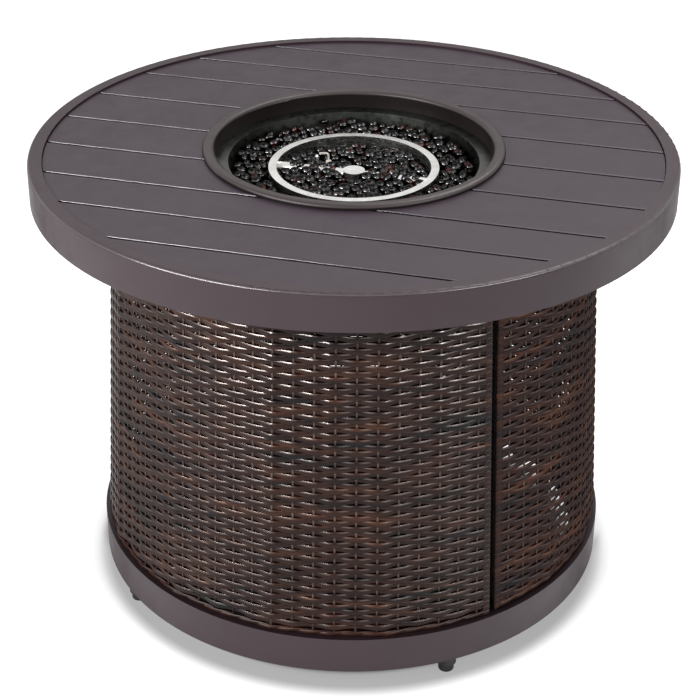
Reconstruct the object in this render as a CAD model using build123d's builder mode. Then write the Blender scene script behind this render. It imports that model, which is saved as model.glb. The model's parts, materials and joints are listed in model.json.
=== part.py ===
from build123d import *
import os
from math import asin, atan, cos, degrees, pi, radians, sin, sqrt

os.makedirs("parts", exist_ok=True)

# Round gas fire pit table with a slatted steel top, a sunken burner and a wicker base.
# Origin: on the floor under the table's axis. +X faces the door and runs along the slats.
# +Y is the side of the control panel. Sizes are in millimetres and degrees.

# Table top
table_diameter = 812.8
table_height = 590.0
apron_height = 47.0
apron_hem = 10.0
rim_width = 18.0
rim_sheet = 1.6
rim_edge_radius = 4.0
ledge_width = 14.0
slat_recess = 2.5
slat_depth = 11.0
slat_sheet = 1.2
slat_gap = 4.0
slat_end_gap = 1.0
slat_fold_radius = 1.8
outer_slat_pitch = 75.5
edge_slat_width = 61.4

# Carrying rails and support ring under the slats
rail_width = 25.0
rail_height = 23.0
rail_wall = 1.5
rail_side_gap = 2.0
pad_end_gap = 3.0
pad_strip_width = 15.0
bowl_ring_bore = 182.0
bowl_ring_flange = 24.0
bowl_ring_lip = 18.0

# Collar and fire pan
collar_bore = 175.5
collar_width = 15.0
collar_rise = 4.0
collar_skirt = 22.5
collar_sheet = 1.6
collar_edge_radius = 5.0
fire_hole_gap = 2.0
pan_mouth = 158.5
pan_floor = 150.0
pan_depth = 46.0
pan_sheet = 1.5
pan_rim_gap = 1.0
pan_drain_radius = 3.0
pan_drain_count = 8
pan_drain_circle = 128.0

# Ring burner and its feed
burner_outer = 108.0
burner_width = 10.0
burner_drop = 28.0
burner_depth = 20.0
burner_sheet = 1.0
burner_port_radius = 1.1
burner_port_count = 72
burner_port_drop = 4.0
cross_pipe_radius = 7.0
cross_pipe_rise = 7.5
cross_pipe_wall = 1.0
hub_radius = 14.0
mixer_radius = 10.0
mixer_wall = 1.5
mixer_reach = 150.0
mixer_bend = 16.0
mixer_nut_radius = 17.0
mixer_nut_height = 6.0
air_window_width = 12.0
air_window_height = 7.0
air_window_inset = 20.0
shutter_length = 24.0
shutter_wall = 1.2
shutter_lug = 6.0
jet_flange = 4.0
jet_hex_radius = 7.5
jet_hex_length = 12.0
jet_insert = 10.0
jet_orifice = 1.0
gas_tube_radius = 4.0

# Probes beside the flame
probe_reach = 33.0
probe_side = 32.0
probe_pitch = 15.0
bracket_sheet = 1.2
bracket_margin = 9.0
bracket_height = 22.0
electrode_radius = 3.5
electrode_height = 28.0
electrode_tip_radius = 1.2
electrode_tip_height = 10.0
electrode_tip_reach = 12.0
thermocouple_radius = 2.5
thermocouple_height = 36.0
probe_stub = 8.0
probe_shoulder = 2.0
probe_shoulder_height = 1.8
lead_radius = 1.5

# Heat shield and fire glass
shield_radius = 148.0
shield_drop = 35.0
shield_sheet = 1.0
shield_tab_width = 16.0
shield_tab_circle = 136.0
glass_fill = 29.0
glass_outer_fill = 33.5
glass_bank = 5.0

# Base frame
foot_height = 26.0
band_height = 49.0
band_outer = 339.0
band_sheet = 2.0
band_flange = 33.0
wall_foot_radius = 336.0
wall_head_gap = 4.5
wicker_thickness = 5.0
post_size = 12.0
base_ring_outer = 304.0
base_ring_width = 18.0
base_ring_height = 6.0
wall_bay_count = 11
wall_sag = 2.0
wall_bottom_gap = 1.0
wall_top_gap = 1.0
wicker_wrap = 14.0

# Door
door_half_angle = 43.0
door_gap = 7.0
door_bottom_gap = 5.0
door_top_gap = 8.0
door_bay_count = 5
door_sag = 1.5
door_corner_radius = 9.0
door_rail_height = 12.0
hinge_length = 50.0
hinge_end_distance = 60.0
hinge_leaf = 1.5
hinge_leaf_depth = 16.0
hinge_knuckle_radius = 3.5
hinge_pin_radius = 1.5
hinge_pin_head = 3.0
hinge_pin_head_height = 1.5
hinge_end_play = 0.5
catch_height = 300.0
catch_length = 40.0
catch_depth = 13.0
catch_reach = 9.0
strike_sheet = 1.2
strike_gap = 0.3

# Gas cylinder tray
tray_knob_gap = 7.5
tray_sheet = 2.0
tray_lip = 12.0
tray_lip_half_length = 265.0
tray_vent_radius = 8.0
tray_vent_count = 8
tray_vent_circle = 70.0
tank_ring_bore = 104.0
tank_ring_wall = 3.0
tank_ring_height = 24.0
clamp_boss_radius = 9.0
clamp_boss_length = 10.0
clamp_screw_radius = 4.0
clamp_screw_reach = 22.0
clamp_travel = 8.0
clamp_knob_radius = 14.0
clamp_knob_length = 10.0

# Feet
foot_radius = 10.0
foot_pad_height = 12.0
foot_edge_radius = 3.0
foot_circle = 322.0
foot_front_angle = 53.0
foot_rear_angle = 136.5
foot_stud_radius = 4.0
foot_stud_length = 26.0
insert_radius = 12.5

# Control panel and valve
panel_drop = 83.0
panel_width = 116.0
panel_height = 84.0
panel_sheet = 1.5
panel_corner_radius = 5.0
panel_return = 3.6
panel_stand_off = 0.3
panel_screw_inset = 6.0
panel_screw_radius = 2.0
panel_screw_head_radius = 4.0
panel_screw_head = 2.4
panel_nut_radius = 4.0
panel_nut_height = 3.0
window_width = 92.0
window_height = 62.0
valve_side = -26.0
valve_width = 36.0
valve_height = 40.0
valve_depth = 48.0
valve_cavity_radius = 8.0
valve_cavity_depth = 14.0
valve_outlet_radius = 7.0
valve_outlet_height = 9.0
inlet_hex_radius = 10.0
inlet_hex_height = 8.0
inlet_radius = 8.0
inlet_length = 14.0
inlet_bore = 3.0
valve_probe_drop = 8.0
stem_radius = 3.0
stem_inner_length = 34.0
stem_outer_length = 22.0
stem_collar_radius = 5.5
stem_collar_height = 1.5
stem_collar_depth = 3.5
washer_radius = 6.5
washer_height = 1.5
stem_wire_radius = 0.5
stem_coil_radius = 5.0
stem_coil_turns = 4
knob_radius = 21.0
knob_height = 22.0
knob_travel = 3.0
knob_gap = 1.2
knob_flute_radius = 3.0
knob_flute_count = 12
knob_edge_radius = 2.0
knob_pointer_width = 5.0
knob_pointer_height = 2.5
igniter_side = 30.0
igniter_radius = 11.0
igniter_length = 40.0
igniter_bore = 9.05
igniter_bore_depth = 24.0
igniter_flange_radius = 14.0
igniter_flange_height = 2.4
button_rise = 5.0
button_length = 17.0
button_travel = 4.0
button_edge_radius = 1.5
button_wire_radius = 0.6
button_coil_radius = 6.0
button_coil_turns = 5

# Fasteners between the top and the base
bolt_radius = 3.0
bolt_head_radius = 5.5
bolt_head_height = 3.5
bolt_length = 16.0
bolt_nut_radius = 5.5
bolt_nut_height = 5.0

# Clearances
running_fit = 0.05
free_gap = 0.3
loose_gap = 0.5

# Levels and radii that follow from the sizes above
rim_outer = table_diameter / 2
slat_field = rim_outer - rim_width
slat_top = table_height - slat_recess
slat_seat = slat_top - slat_depth
rail_top = slat_seat - rim_sheet
apron_bottom = table_height - apron_height
base_ring_top = rail_top - rail_height
base_ring_bottom = base_ring_top - base_ring_height
collar_top = table_height + collar_rise
collar_outer = collar_bore + collar_width
pan_flange_top = collar_top - collar_skirt
pan_seat = pan_flange_top - pan_sheet
pan_underside = pan_flange_top - pan_depth
pan_floor_top = pan_underside + pan_sheet
pan_rim = bowl_ring_bore - pan_rim_gap
fire_hole = bowl_ring_bore + fire_hole_gap
burner_top = table_height - burner_drop
burner_bottom = burner_top - burner_depth
burner_inner = burner_outer - burner_width
cross_pipe_level = burner_bottom + cross_pipe_rise
hub_top = cross_pipe_level + cross_pipe_radius
shield_top = pan_underside - shield_drop
mixer_level = (pan_underside + shield_top) / 2
glass_top = pan_floor_top + glass_fill
glass_outer_top = pan_floor_top + glass_outer_fill
glass_edge_top = glass_outer_top + glass_bank
band_top = foot_height + band_height
wall_bottom = band_top + wall_bottom_gap
wall_top = base_ring_bottom - wall_top_gap
door_bottom = band_top + door_bottom_gap
door_top = apron_bottom - door_top_gap
wall_head_radius = base_ring_outer + wall_head_gap
wall_slope = (wall_foot_radius - wall_head_radius) / (base_ring_top - band_top)
wall_lean = atan(wall_slope)
bay_angle = (360 - 2 * door_half_angle) / wall_bay_count
door_bay_angle = 2 * door_half_angle / door_bay_count
panel_angle = door_half_angle + 2.5 * bay_angle
panel_level = wall_top - panel_drop
frame_depth = wicker_thickness + post_size


# Directions on the plan, and points of the leaning wall
def radial(angle):
    return Vector(cos(radians(angle)), sin(radians(angle)), 0)


def tangent(angle):
    return Vector(-sin(radians(angle)), cos(radians(angle)), 0)


def wall_radius(z):
    return wall_foot_radius - wall_slope * (z - band_top)


def corner_angles(start, bay, count):
    """Corners of a faceted wall: its posts and the middles of its bays."""
    return [start + bay * step / 2 for step in range(2 * count + 1)]


fixed_corners = corner_angles(door_half_angle, bay_angle, wall_bay_count)
door_corners = corner_angles(-door_half_angle, door_bay_angle, door_bay_count)
fixed_wall = (fixed_corners, wall_sag)
door_wall = (door_corners, door_sag)


def facet_radius(wall, angle, z, depth):
    """Radius of a faceted wall at an angle, set in by a depth."""
    corners, sag = wall
    step = corners[1] - corners[0]
    index = min(max(int((angle - corners[0]) // step), 0), len(corners) - 2)
    near = wall_radius(z) - depth - sag * (index % 2)
    far = wall_radius(z) - depth - sag * ((index + 1) % 2)
    near_turn = sin(radians(angle - corners[index]))
    far_turn = sin(radians(corners[index + 1] - angle))
    return near * far * sin(radians(step)) / (near * near_turn + far * far_turn)


def edge_angle(wall, plane_angle, side, z, depth):
    """Angle at which the wall lies a given distance beside a radial plane."""
    angle = plane_angle
    for _ in range(4):
        angle = plane_angle + degrees(asin(side / facet_radius(wall, angle, z, depth)))
    return angle


def wall_section(wall, start, end, z, outer_depth, inner_depth):
    """Outline of a stretch of wall at one level; start and end are (plane angle, side)."""
    points = []
    for depth in (outer_depth, inner_depth):
        first = edge_angle(wall, *start, z, depth)
        last = edge_angle(wall, *end, z, depth)
        inner = [corner for corner in wall[0] if first + 0.01 < corner < last - 0.01]
        stretch = [radial(a) * facet_radius(wall, a, z, depth) for a in [first, *inner, last]]
        points += stretch if depth == outer_depth else stretch[::-1]
    return [(point.X, point.Y) for point in points]


def wall_frame(angle, z, depth=0.0):
    """Plane on the leaning wall: X outwards, Y around the table, Z up along the wall."""
    out = radial(angle) * cos(wall_lean) + Vector(0, 0, sin(wall_lean))
    up = radial(angle) * -sin(wall_lean) + Vector(0, 0, cos(wall_lean))
    return Plane(radial(angle) * wall_radius(z) + Vector(0, 0, z) - out * depth, x_dir=out, z_dir=up)


def wall_face(angle, z, depth=0.0):
    """Plane that faces out of the leaning wall: X around the table, Y up along the wall."""
    frame = wall_frame(angle, z, depth)
    return Plane(frame.origin, x_dir=frame.y_dir, z_dir=frame.x_dir)


def bar(low_x, high_x, low_y, high_y, mode=Mode.ADD):
    """Rectangle between two corners in the current sketch."""
    with Locations(((low_x + high_x) / 2, (low_y + high_y) / 2)):
        Rectangle(high_x - low_x, high_y - low_y, mode=mode)


pieces = {}

# Rim: rolled edge, apron with a hem, and a ledge for the slats
with BuildPart() as table_rim:
    with BuildSketch(Plane.XZ) as rim_section:
        bar(rim_outer - rim_sheet, rim_outer, apron_bottom, table_height)
        bar(slat_field, rim_outer, table_height - rim_sheet, table_height)
        bar(slat_field, slat_field + rim_sheet, rail_top, table_height)
        bar(slat_field - ledge_width, slat_field + rim_sheet, rail_top, slat_seat)
        bar(rim_outer - apron_hem, rim_outer, apron_bottom, apron_bottom + rim_sheet)
        rim_corner = rim_section.vertices().group_by(Axis.X)[-1].sort_by(Axis.Y)[-1]
        fillet(rim_corner, rim_edge_radius)
        inner_corner = rim_section.vertices().filter_by(
            lambda v: abs(v.X - rim_outer + rim_sheet) + abs(v.Y - table_height + rim_sheet) < rim_sheet / 4
        )
        fillet(inner_corner, rim_edge_radius - rim_sheet)
    revolve(axis=Axis.Z)
pieces["table_rim"] = table_rim

# Ten slats: folded channels that follow the rim, cut away round the fire
inner_slat_pitch = (slat_field - edge_slat_width - 2 * outer_slat_pitch) / 2
pitches = [outer_slat_pitch] * 2 + [inner_slat_pitch] * 4 + [outer_slat_pitch] * 2
slat_lines = [-sum(pitches) / 2]
for pitch in pitches:
    slat_lines.append(slat_lines[-1] + pitch)
past_rim = slat_field + slat_gap
slat_edges = [-past_rim, *slat_lines, past_rim]
for number in range(len(slat_edges) - 1):
    low_side = slat_edges[number] + slat_gap / 2
    high_side = slat_edges[number + 1] - slat_gap / 2
    with BuildPart() as slat:
        with BuildSketch(Plane.XY.offset(slat_seat)):
            bar(-slat_field, slat_field, low_side, high_side)
            Circle(slat_field - slat_end_gap, mode=Mode.INTERSECT)
            Circle(fire_hole, mode=Mode.SUBTRACT)
        extrude(amount=slat_depth)
        fold_edges = slat.edges().filter_by(Axis.X).group_by(Axis.Z)[-1]
        fillet(fold_edges, slat_fold_radius)
        with BuildSketch(Plane.XY.offset(slat_seat)):
            bar(-slat_field, slat_field, low_side + slat_sheet, high_side - slat_sheet)
        extrude(amount=slat_depth - slat_sheet, mode=Mode.SUBTRACT)
    pieces[f"slat_{number + 1:02d}"] = slat

# Collar: rounded trim over the inner ends of the slats, with a skirt down to the pan
with BuildPart() as fire_collar:
    with BuildSketch(Plane.XZ) as collar_section:
        bar(collar_bore, collar_outer, slat_top, collar_top)
        skirt_corners = collar_section.vertices().group_by(Axis.Y)[-1]
        fillet(skirt_corners, collar_edge_radius)
        bar(collar_bore, collar_bore + collar_sheet, pan_flange_top, slat_top)
        with BuildSketch(mode=Mode.SUBTRACT) as collar_hollow:
            bar(collar_bore + collar_sheet, collar_outer - collar_sheet, slat_top, collar_top - collar_sheet)
            hollow_corners = collar_hollow.vertices().group_by(Axis.Y)[-1]
            fillet(hollow_corners, collar_edge_radius - collar_sheet)
    revolve(axis=Axis.Z)
pieces["fire_collar"] = fire_collar

# Support ring: carries the inner ends of the slats and hangs the pan between the rails
with BuildPart() as bowl_support_ring:
    with BuildSketch(Plane.XZ):
        bar(bowl_ring_bore, bowl_ring_bore + bowl_ring_flange, rail_top, slat_seat)
        bar(bowl_ring_bore, bowl_ring_bore + rim_sheet, pan_seat - rim_sheet, slat_seat)
        bar(bowl_ring_bore - bowl_ring_lip, bowl_ring_bore + rim_sheet, pan_seat - rim_sheet, pan_seat)
    revolve(axis=Axis.Z)
pieces["bowl_support_ring"] = bowl_support_ring

# Two box rails that carry the top on the base, with rubber strips under the slats
rail_offset = bowl_ring_bore + rim_sheet + rail_side_gap + rail_width / 2
rail_outer_side = rail_offset + rail_width / 2
rail_half_length = sqrt((slat_field - loose_gap) ** 2 - rail_outer_side ** 2)
bolt_circle = base_ring_outer - base_ring_width / 2
bolt_spot = sqrt(bolt_circle ** 2 - rail_offset ** 2)
for side, label in ((-1, "top_rail_left"), (1, "top_rail_right")):
    with BuildPart() as top_rail:
        with BuildSketch(Plane.XY.offset(base_ring_top)):
            with Locations((side * rail_offset, 0)):
                Rectangle(rail_width, 2 * rail_half_length)
        extrude(amount=rail_height)
        with BuildSketch(Plane.XY.offset(base_ring_top + rail_wall)):
            with Locations((side * rail_offset, 0)):
                Rectangle(rail_width - 2 * rail_wall, 2 * rail_half_length)
        extrude(amount=rail_height - 2 * rail_wall, mode=Mode.SUBTRACT)
        with BuildSketch(Plane.XY.offset(base_ring_top)):
            with Locations((side * rail_offset, bolt_spot), (side * rail_offset, -bolt_spot)):
                Circle(bolt_radius + free_gap)
        extrude(amount=rail_wall, mode=Mode.SUBTRACT)
    pieces[label] = top_rail

pad_start = sqrt((bowl_ring_bore + bowl_ring_flange) ** 2 - (rail_offset - rail_width / 2) ** 2)
pad_end = sqrt((slat_field - ledge_width) ** 2 - rail_outer_side ** 2)
pad_length = pad_end - pad_start - 2 * pad_end_gap
pad_middle = (pad_start + pad_end) / 2
with BuildPart() as slat_pads:
    with BuildSketch(Plane.XY.offset(rail_top)):
        with Locations(*[(a * rail_offset, b * pad_middle) for a in (-1, 1) for b in (-1, 1)]):
            Rectangle(pad_strip_width, pad_length)
    extrude(amount=rim_sheet)
pieces["slat_pads"] = slat_pads

bolt_places = [(a * rail_offset, b * bolt_spot) for a in (-1, 1) for b in (-1, 1)]
with BuildPart() as frame_bolts:
    with BuildSketch(Plane.XY.offset(base_ring_bottom)):
        with Locations(*bolt_places):
            RegularPolygon(bolt_head_radius, 6)
    extrude(amount=-bolt_head_height)
    with BuildSketch(Plane.XY.offset(base_ring_bottom)):
        with Locations(*bolt_places):
            Circle(bolt_radius)
    extrude(amount=bolt_length)
pieces["frame_bolts"] = frame_bolts

with BuildPart() as frame_nuts:
    with BuildSketch(Plane.XY.offset(base_ring_top + rail_wall)):
        with Locations(*bolt_places):
            RegularPolygon(bolt_nut_radius, 6)
            Circle(bolt_radius + running_fit, mode=Mode.SUBTRACT)
    extrude(amount=bolt_nut_height)
pieces["frame_nuts"] = frame_nuts

# Places measured out towards the control panel: along it, beside it, and up
def towards_panel(along, beside, z):
    return radial(panel_angle) * along + tangent(panel_angle) * beside + Vector(0, 0, z)


electrode_place = towards_panel(probe_reach, probe_side, 0)
thermocouple_place = towards_panel(probe_reach, probe_side + probe_pitch, 0)

# Fire pan: stamped bowl with a flange, drain holes and holes for the feed and the probes
with BuildPart() as burner_pan:
    with BuildSketch(Plane.XZ):
        with BuildLine():
            Polyline(
                (0, pan_underside),
                (pan_floor + pan_sheet, pan_underside),
                (pan_mouth + pan_sheet, pan_seat),
                (pan_rim, pan_seat),
                (pan_rim, pan_flange_top),
                (pan_mouth, pan_flange_top),
                (pan_floor, pan_floor_top),
                (0, pan_floor_top),
                close=True,
            )
        make_face()
    revolve(axis=Axis.Z)
    with BuildSketch(Plane.XY.offset(pan_underside)):
        Circle(mixer_radius + free_gap)
        with PolarLocations(pan_drain_circle, pan_drain_count):
            Circle(pan_drain_radius)
        with Locations((electrode_place.X, electrode_place.Y)):
            Circle(electrode_radius + free_gap)
        with Locations((thermocouple_place.X, thermocouple_place.Y)):
            Circle(thermocouple_radius + free_gap)
    extrude(amount=pan_sheet, mode=Mode.SUBTRACT)
pieces["burner_pan"] = burner_pan

# Ring burner: hollow stainless ring with ports in its inner wall, fed by a cross pipe and hub
with BuildPart() as burner_ring:
    with BuildSketch(Plane.XZ):
        bar(burner_inner, burner_outer, burner_bottom, burner_top)
    revolve(axis=Axis.Z)
    with BuildSketch(Plane.YZ):
        with Locations((0, cross_pipe_level)):
            Circle(cross_pipe_radius)
    extrude(amount=burner_inner + burner_sheet / 2, both=True)
    with BuildSketch(Plane.XY.offset(pan_floor_top)):
        Circle(hub_radius)
    extrude(amount=hub_top - pan_floor_top)
    with BuildSketch(Plane.XZ):
        bar(
            burner_inner + burner_sheet, burner_outer - burner_sheet,
            burner_bottom + burner_sheet, burner_top - burner_sheet,
        )
    revolve(axis=Axis.Z, mode=Mode.SUBTRACT)
    with BuildSketch(Plane.YZ):
        with Locations((0, cross_pipe_level)):
            Circle(cross_pipe_radius - cross_pipe_wall)
    extrude(amount=burner_inner + burner_width / 2, both=True, mode=Mode.SUBTRACT)
    with BuildSketch(Plane.XY.offset(pan_floor_top)):
        Circle(mixer_radius + free_gap)
    extrude(amount=cross_pipe_level - pan_floor_top, mode=Mode.SUBTRACT)
    with PolarLocations(burner_inner, burner_port_count):
        with Locations(Location((0, 0, burner_top - burner_port_drop), (0, 90, 0))):
            Cylinder(burner_port_radius, 3 * burner_sheet, mode=Mode.SUBTRACT)
pieces["burner_ring"] = burner_ring

# Mixer tube: up through the pan into the hub, and out under the pan towards the valve
panel_section = Plane((0, 0, 0), x_dir=radial(panel_angle), z_dir=-tangent(panel_angle))
mixer_top = cross_pipe_level - cross_pipe_radius
shutter_start = mixer_reach - air_window_inset - shutter_length / 2
with BuildPart() as mixer_tube:
    with BuildLine(panel_section) as mixer_path:
        FilletPolyline((0, mixer_top), (0, mixer_level), (mixer_reach, mixer_level), radius=mixer_bend)
    with BuildSketch(Plane(mixer_path.line @ 0, z_dir=mixer_path.line % 0)):
        Circle(mixer_radius)
        Circle(mixer_radius - mixer_wall, mode=Mode.SUBTRACT)
    sweep()
    with BuildSketch(Plane.XY.offset(pan_underside)):
        RegularPolygon(mixer_nut_radius, 6)
        Circle(mixer_radius - mixer_wall / 2, mode=Mode.SUBTRACT)
    extrude(amount=-mixer_nut_height)
    with BuildSketch(panel_section):
        with Locations((mixer_reach - air_window_inset, mixer_level)):
            Rectangle(air_window_width, air_window_height)
    extrude(amount=2 * mixer_radius, both=True, mode=Mode.SUBTRACT)
pieces["mixer_tube"] = mixer_tube

# Air shutter: sleeve with two windows that turns on the mixer tube
mixer_axis = Plane(towards_panel(0, 0, mixer_level), x_dir=tangent(panel_angle), z_dir=radial(panel_angle))
with BuildPart() as air_shutter:
    with BuildSketch(mixer_axis.offset(shutter_start)):
        Circle(mixer_radius + running_fit + shutter_wall)
        Circle(mixer_radius + running_fit, mode=Mode.SUBTRACT)
    extrude(amount=shutter_length)
    with BuildSketch(panel_section):
        with Locations((mixer_reach - air_window_inset, mixer_level)):
            Rectangle(air_window_width, air_window_height)
    extrude(amount=2 * mixer_radius, both=True, mode=Mode.SUBTRACT)
pieces["air_shutter"] = air_shutter

# Gas jet: brass plug with a flange, a hexagon and the orifice
jet_end = mixer_reach + jet_flange + jet_hex_length
with BuildPart() as gas_jet:
    with BuildSketch(mixer_axis.offset(mixer_reach - jet_insert)):
        Circle(mixer_radius - mixer_wall - running_fit)
    extrude(amount=jet_insert)
    with BuildSketch(mixer_axis.offset(mixer_reach)):
        Circle(mixer_radius)
    extrude(amount=jet_flange)
    with BuildSketch(mixer_axis.offset(mixer_reach + jet_flange)):
        RegularPolygon(jet_hex_radius, 6)
    extrude(amount=jet_hex_length)
    with BuildSketch(mixer_axis.offset(mixer_reach)):
        Circle(gas_tube_radius + free_gap)
    extrude(amount=jet_flange + jet_hex_length, mode=Mode.SUBTRACT)
    with BuildSketch(mixer_axis.offset(mixer_reach - jet_insert)):
        Circle(jet_orifice)
    extrude(amount=jet_insert, mode=Mode.SUBTRACT)
pieces["gas_jet"] = gas_jet

# Bracket, igniter electrode and thermocouple, standing through the pan floor
probe_middle = towards_panel(probe_reach, probe_side + probe_pitch / 2, pan_floor_top)
probe_plane = Plane(probe_middle, x_dir=tangent(panel_angle), z_dir=(0, 0, 1))
bracket_half = probe_pitch / 2 + bracket_margin
with BuildPart() as probe_bracket:
    with BuildSketch(probe_plane):
        Rectangle(2 * bracket_half, 2 * bracket_margin)
        with Locations((-probe_pitch / 2, 0)):
            Circle(electrode_radius + free_gap, mode=Mode.SUBTRACT)
        with Locations((probe_pitch / 2, 0)):
            Circle(thermocouple_radius + free_gap, mode=Mode.SUBTRACT)
    extrude(amount=bracket_sheet)
    with BuildSketch(probe_plane):
        with Locations((0, bracket_sheet / 2 - bracket_margin)):
            Rectangle(2 * bracket_half, bracket_sheet)
    extrude(amount=bracket_height)
pieces["probe_bracket"] = probe_bracket

bracket_top = pan_floor_top + bracket_sheet
with BuildPart() as igniter_electrode:
    with BuildSketch(Plane(electrode_place + Vector(0, 0, pan_underside - probe_stub), z_dir=(0, 0, 1))):
        Circle(electrode_radius)
    extrude(amount=probe_stub + pan_sheet + electrode_height)
    with BuildSketch(Plane(electrode_place + Vector(0, 0, bracket_top), z_dir=(0, 0, 1))):
        Circle(electrode_radius + probe_shoulder)
    extrude(amount=probe_shoulder_height)
    electrode_end = towards_panel(probe_reach, probe_side, pan_floor_top + electrode_height)
    tip_up = electrode_end + Vector(0, 0, electrode_tip_height)
    with BuildLine() as tip_path:
        FilletPolyline(
            electrode_end - Vector(0, 0, electrode_tip_radius),
            tip_up,
            tip_up + tangent(panel_angle) * electrode_tip_reach,
            radius=3 * electrode_tip_radius,
        )
    with BuildSketch(Plane(tip_path.line @ 0, z_dir=tip_path.line % 0)):
        Circle(electrode_tip_radius)
    sweep()
pieces["igniter_electrode"] = igniter_electrode

with BuildPart() as thermocouple:
    with BuildSketch(Plane(thermocouple_place + Vector(0, 0, pan_underside - probe_stub), z_dir=(0, 0, 1))):
        Circle(thermocouple_radius)
    extrude(amount=probe_stub + pan_sheet + thermocouple_height)
    tip_edge = thermocouple.edges().group_by(Axis.Z)[-1]
    fillet(tip_edge, thermocouple_radius - running_fit)
    with BuildSketch(Plane(thermocouple_place + Vector(0, 0, bracket_top), z_dir=(0, 0, 1))):
        Circle(thermocouple_radius + probe_shoulder)
    extrude(amount=probe_shoulder_height)
pieces["thermocouple"] = thermocouple

# Heat shield under the pan, hung on three folded tabs
with BuildPart() as heat_shield:
    with BuildSketch(Plane.XY.offset(shield_top - shield_sheet)):
        Circle(shield_radius)
    extrude(amount=shield_sheet)
    with BuildSketch(Plane.XY.offset(shield_top)):
        with PolarLocations(shield_tab_circle, 3, start_angle=panel_angle + 60):
            Rectangle(shield_sheet, shield_tab_width)
    extrude(amount=shield_drop - shield_sheet)
    with BuildSketch(Plane.XY.offset(pan_underside - shield_sheet)):
        with PolarLocations(shield_tab_circle - shield_tab_width / 2, 3, start_angle=panel_angle + 60):
            Rectangle(shield_tab_width + shield_sheet, shield_tab_width)
    extrude(amount=shield_sheet)
pieces["heat_shield"] = heat_shield

# Fire glass: the bed of beads, level inside the burner and banked up outside it to the pan's wall
wall_run = (pan_mouth - pan_floor) / (pan_flange_top - pan_floor_top)
glass_edge = pan_floor - loose_gap + wall_run * (glass_edge_top - pan_floor_top)
with BuildPart() as fire_glass_bed:
    with BuildSketch(Plane.XZ):
        with BuildLine():
            Polyline(
                (0, pan_floor_top),
                (pan_floor - loose_gap, pan_floor_top),
                (glass_edge, glass_edge_top),
                (burner_outer, glass_outer_top),
                (burner_outer, glass_top),
                (0, glass_top),
                close=True,
            )
        make_face()
        bar(
            burner_inner - loose_gap, burner_outer + loose_gap,
            burner_bottom - loose_gap, burner_top, mode=Mode.SUBTRACT,
        )
    revolve(axis=Axis.Z)
    with BuildSketch(Plane.XY.offset(pan_floor_top)):
        Circle(hub_radius + loose_gap)
    extrude(amount=glass_fill, mode=Mode.SUBTRACT)
    with BuildSketch(Plane.YZ):
        bar(
            -cross_pipe_radius - loose_gap, cross_pipe_radius + loose_gap,
            burner_bottom - loose_gap, glass_top,
        )
    extrude(amount=burner_inner, both=True, mode=Mode.SUBTRACT)
    with BuildSketch(probe_plane):
        Rectangle(2 * (bracket_half + loose_gap), 2 * (bracket_margin + loose_gap))
    extrude(amount=glass_fill, mode=Mode.SUBTRACT)
pieces["fire_glass_bed"] = fire_glass_bed

# Top ring of the base
with BuildPart() as base_top_ring:
    with BuildSketch(Plane.XY.offset(base_ring_bottom)):
        Circle(base_ring_outer)
        Circle(base_ring_outer - base_ring_width, mode=Mode.SUBTRACT)
        with Locations(*bolt_places):
            Circle(bolt_radius + free_gap, mode=Mode.SUBTRACT)
    extrude(amount=base_ring_height)
pieces["base_top_ring"] = base_top_ring

# Bottom band: rolled channel, with holes for the feet's studs
foot_angles = [foot_front_angle, foot_rear_angle, -foot_rear_angle, -foot_front_angle]
foot_places = [radial(angle) * foot_circle for angle in foot_angles]
foot_spots = [(place.X, place.Y) for place in foot_places]
with BuildPart() as base_bottom_band:
    with BuildSketch(Plane.XZ):
        bar(band_outer - band_sheet, band_outer, foot_height, band_top)
        bar(band_outer - band_flange, band_outer, foot_height, foot_height + band_sheet)
        bar(band_outer - band_flange, band_outer, band_top - band_sheet, band_top)
    revolve(axis=Axis.Z)
    with BuildSketch(Plane.XY.offset(foot_height)):
        with Locations(*foot_spots):
            Circle(foot_stud_radius + free_gap)
    extrude(amount=band_sheet, mode=Mode.SUBTRACT)
pieces["base_bottom_band"] = base_bottom_band

# Posts: at the door's two edges and between the wicker's bays
door_edge = door_gap / 2
post_ends = [(door_half_angle, door_edge, door_edge + post_size)]
for bay in range(1, wall_bay_count):
    post_ends.append((door_half_angle + bay * bay_angle, -post_size / 2, post_size / 2))
post_ends.append((360 - door_half_angle, -door_edge - post_size, -door_edge))
with BuildPart() as base_posts:
    for plane_angle, near_side, far_side in post_ends:
        for level in (band_top, base_ring_bottom):
            with BuildSketch(Plane.XY.offset(level)):
                Polygon(
                    *wall_section(
                        fixed_wall, (plane_angle, near_side), (plane_angle, far_side),
                        level, wicker_thickness, frame_depth,
                    ),
                    align=None,
                )
        loft(ruled=True)
pieces["base_posts"] = base_posts

# Fixed wicker wall, with a window behind the control panel
panel_face = wall_face(panel_angle, panel_level, wall_sag)
screw_spots = [
    (a * (panel_width / 2 - panel_screw_inset), b * (panel_height / 2 - panel_screw_inset))
    for a in (-1, 1) for b in (-1, 1)
]
with BuildPart() as wicker_wall:
    for level in (wall_bottom, wall_top):
        with BuildSketch(Plane.XY.offset(level)):
            Polygon(
                *wall_section(
                    fixed_wall, (door_half_angle, door_edge), (360 - door_half_angle, -door_edge),
                    level, 0, wicker_thickness,
                ),
                align=None,
            )
    loft(ruled=True)
    with BuildSketch(panel_face.offset(-2 * wicker_thickness)):
        Rectangle(window_width, window_height)
        with Locations(*screw_spots):
            Circle(panel_screw_radius + free_gap)
    extrude(amount=3 * wicker_thickness, mode=Mode.SUBTRACT)
pieces["wicker_wall"] = wicker_wall

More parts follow.
